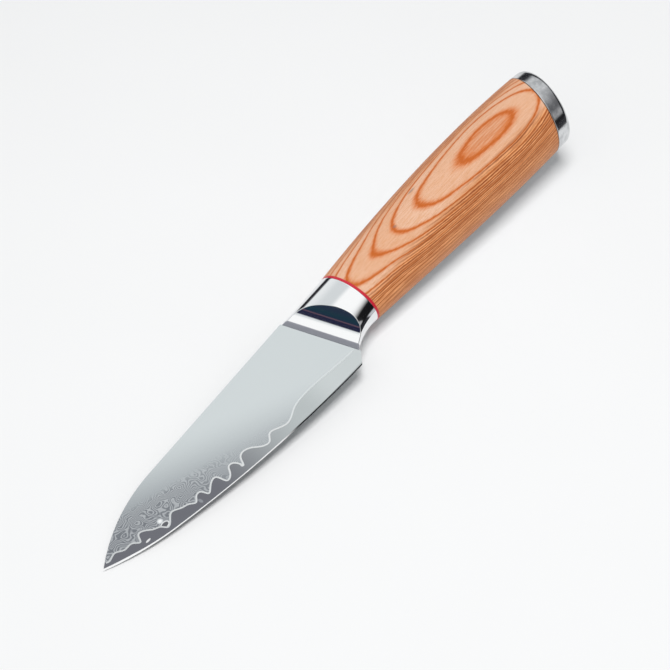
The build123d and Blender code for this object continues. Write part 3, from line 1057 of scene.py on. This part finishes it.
# %% [markdown]
# Where the two layers meet, the etch leaves a bright line that follows every wave of the joint.
# It follows a path, so Geometry Nodes draw it: a smooth curve through the joint's points is
# sampled evenly, a flat strip is swept along it, and the strip is laid on the ground face. The
# same tree makes the line of the left face and of the right one. The points are those that shape
# the joint in the solids, as shares of the edge's length and of the heel's drop.
# %% Path of the bright line
cladding_line_shares = np.array((
    (-0.040, -0.330), (0.014, -0.150), (0.030, -0.055), (0.060, -0.095), (0.086, 0.015),
    (0.115, 0.040), (0.131, 0.150), (0.147, -0.005), (0.168, 0.040), (0.186, 0.160),
    (0.205, 0.245), (0.216, 0.360), (0.234, 0.305), (0.260, 0.180), (0.290, 0.285),
    (0.311, 0.345), (0.326, 0.430), (0.345, 0.325), (0.361, 0.330), (0.371, 0.490),
    (0.398, 0.385), (0.427, 0.360), (0.438, 0.600), (0.460, 0.540), (0.480, 0.385),
    (0.496, 0.430), (0.507, 0.600), (0.522, 0.445), (0.562, 0.445), (0.590, 0.630),
    (0.614, 0.680), (0.638, 0.545), (0.664, 0.590), (0.698, 0.680), (0.752, 0.545),
    (0.790, 0.495), (0.855, 0.500), (0.920, 0.545), (0.985, 0.590), (1.100, 0.620),
))
blade_length, heel_drop = heel[0], -heel[1]
waypoints = cladding_line_shares * (blade_length, -heel_drop)


def natural_spline(points, places_per_step):
    """Points of the smooth curve through the given ones, with no bend at its ends."""
    steps = np.linalg.norm(np.diff(points, axis=0), axis=1)
    slopes = np.diff(points, axis=0) / steps[:, None]
    count = len(points)
    system, wanted = np.eye(count), np.zeros_like(points)
    for k in range(1, count - 1):
        system[k, k - 1:k + 2] = steps[k - 1], 2 * (steps[k - 1] + steps[k]), steps[k]
        wanted[k] = 6 * (slopes[k] - slopes[k - 1])
    bends = np.linalg.solve(system, wanted)
    curve = []
    for k in range(count - 1):
        share = np.linspace(0, 1, places_per_step, endpoint=False)[:, None]
        rest = 1 - share
        straight = rest * points[k] + share * points[k + 1]
        sag = (rest**3 - rest) * bends[k] + (share**3 - share) * bends[k + 1]
        curve.append(straight + steps[k] ** 2 / 6 * sag)
    return np.concatenate([*curve, points[-1:]])


wavy = natural_spline(waypoints, 12)
print("the joint's curve has", len(wavy), "points")

# %% [markdown]
# The curve runs past the blade at both ends, so it is cut off just inside the rounded nose of the
# spine and just before the bolster's foot. The nose is an arc that leaves the straight spine
# without a corner and ends at the tip.
# %% Cut the path off at the nose and the foot
inside_nose, past_nose, before_foot = 0.25, 3, 0.3
spine_bend = np.array((28.3, 9.95))
spine_slope = (foot_top[1] - spine_bend[1]) / (foot_top[0] - spine_bend[0])
to_tip = -spine_bend
spine_along = np.array((-1.0, -spine_slope)) / np.hypot(1, spine_slope)
spine_across = np.array((spine_along[1], -spine_along[0]))
if spine_across @ to_tip < 0:
    spine_across = -spine_across
nose_radius = (to_tip @ to_tip) / (2 * (spine_across @ to_tip))
nose_middle = spine_bend + nose_radius * spine_across
from_nose_middle = np.linalg.norm(wavy - nose_middle, axis=1)
on_blade = (wavy[:, 0] > past_nose) | (from_nose_middle < nose_radius - inside_nose)
foot_line_x = choil_top[0] - (wavy[:, 1] - choil_top[1]) * tan(slant)
wavy = wavy[on_blade & (wavy[:, 0] < foot_line_x - before_foot)]
print("the bright line has", len(wavy), "points, and the nose a radius of", round(nose_radius, 1))

# %% [markdown]
# The tree takes the strip's sizes as named inputs. A noise along the line makes the width uneven,
# as an etched joint is, and the strip narrows towards the bolster, where the real line is faint.
# %% Tree that lays a strip along a path
strip_tree = bpy.data.node_groups.new("strip_on_path", "GeometryNodeTree")
add_socket(strip_tree, "INPUT", "Geometry", "Geometry")
for name, default in (
    ("Width", 0.46), ("Thickness", 0.03), ("Spacing", 0.15), ("Unevenness", 0.5),
    ("Narrowest", 0.28),
):
    add_socket(strip_tree, "INPUT", name, "Float").default_value = default
material_input = add_socket(strip_tree, "INPUT", "Material", "Material").identifier
add_socket(strip_tree, "OUTPUT", "Geometry", "Geometry")
wire = Wiring(strip_tree)
given = wire.add("NodeGroupInput").outputs
result = wire.add("NodeGroupOutput")


def step(kind, inputs, **options):
    """Adds one step to the strip and gives its geometry."""
    return wire.add("GeometryNode" + kind, inputs, **options).outputs[0]


path = step("MeshToCurve", {"Mesh": given["Geometry"]})
path = step("ResampleCurve", {"Curve": path, "Length": given["Spacing"]}, mode="LENGTH")
path = step("SetCurveNormal", {"Curve": path}, mode="Z_UP")
place = step("InputPosition", {})
uneven = wire.times(wire.minus(wire.noise(place, 0.6), 0.5), given["Unevenness"])
taper = wire.ramp(wire.parts(place)[0], 30.0, 66.0, 1.0, given["Narrowest"])
radius = wire.times(wire.plus(uneven, 1.0), taper)
path = step("SetCurveRadius", {"Curve": path, "Radius": radius})
sizes = {"Width": given["Width"], "Height": given["Thickness"]}
section = step("CurvePrimitiveQuadrilateral", sizes)
strip = step("CurveToMesh", {"Curve": path, "Profile Curve": section, "Fill Caps": True})
strip = step("RealizeInstances", {"Geometry": strip})
strip = step("SetMaterial", {"Geometry": strip, "Material": given["Material"]})
wire.fill(result, Geometry=strip)
print("inputs of the strip:", ", ".join(socket.name for socket in given if socket.name))

# %% [markdown]
# The line is bare steel, a little brighter than the faces. It is rough from the acid near the tip
# and smoother towards the bolster. The strip is shaded flat, because a smooth one would look like
# a rounded bead.
# %% Bright line on both faces
bright, wire, shader = finish("bright_line", 1.0)
x = wire.parts(wire.level_point())[0]
line_tone = wire.blend(wire.ramp(x, 58.0, 70.0), (0.70, 0.72, 0.73), (0.67, 0.71, 0.72))
wire.fill(shader, Base_Color=line_tone)
wire.fill(shader, Roughness=wire.ramp(x, 0.0, 60.0, 0.45, 0.28))


def face_depth(places, side):
    """How far the ground face stands from the blade's middle plane at each place."""
    from_tip = places[:, 0] * ground_normal[0] + places[:, 1] * ground_normal[1]
    return side * (half_tip - from_tip / ground_normal[2])


line_pieces = []
for side, name in ((1, "left_bright_line"), (-1, "right_bright_line")):
    mesh = bpy.data.meshes.new(name)
    corners = np.column_stack([wavy, face_depth(wavy, side)]).tolist()
    mesh.from_pydata(corners, [(k, k + 1) for k in range(len(wavy) - 1)], [])
    line_piece = put_in_scene(name, mesh)
    modifier = line_piece.modifiers.new("strip", "NODES")
    modifier.node_group = strip_tree
    modifier[material_input] = bright
    evaluated = line_piece.evaluated_get(bpy.context.evaluated_depsgraph_get())
    strip_mesh = bpy.data.meshes.new_from_object(evaluated)
    line_piece.modifiers.remove(modifier)
    points = np.array([corner.co for corner in strip_mesh.vertices])
    strip_mesh.vertices.foreach_set("co", laid(points).ravel())
    strip_mesh.shade_flat()
    line_piece.data = strip_mesh
    line_pieces.append(line_piece)
    print(f"{name}: {len(strip_mesh.polygons)} faces")

# %% [markdown]
# The CAD pieces of the blade keep their exact meshes and take these finishes. The handle's pieces
# are replaced by the smooth ones made above.
# %% Dress the pieces
for name, material in (
    ("blade_core", core_steel), ("left_cladding", layered), ("right_cladding", layered),
    ("tang_rod", satin),
):
    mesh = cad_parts[name].data
    mesh.materials.clear()
    mesh.materials.append(material)
for piece, node, slot, material in (
    (bolster, "bolster", "polished_steel", polished),
    (liner, "front_liner", "red_fibre", red),
    (grip, "grip", "laminated_wood", laminated),
    (cap, "end_cap", "satin_steel", satin),
):
    piece.data.materials.append(material)
    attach(piece, "root")
    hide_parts(node)

for piece in line_pieces:
    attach(piece, "root")
print("dressed:", ", ".join(piece.name for piece in (bolster, liner, grip, cap, *line_pieces)))

# %% [markdown]
# The last step measures the knife again, and prints its box beside the CAD model's box. Its
# looks have to stay within the CAD model's box.
# %% Sizes and finish
bpy.context.scene.view_settings.view_transform = "Standard"
sizes = {
    "cad": [list(corner) for corner in cad_box],
    "visual": [list(corner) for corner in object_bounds()],
}
print("visual box against the CAD box:", sizes)
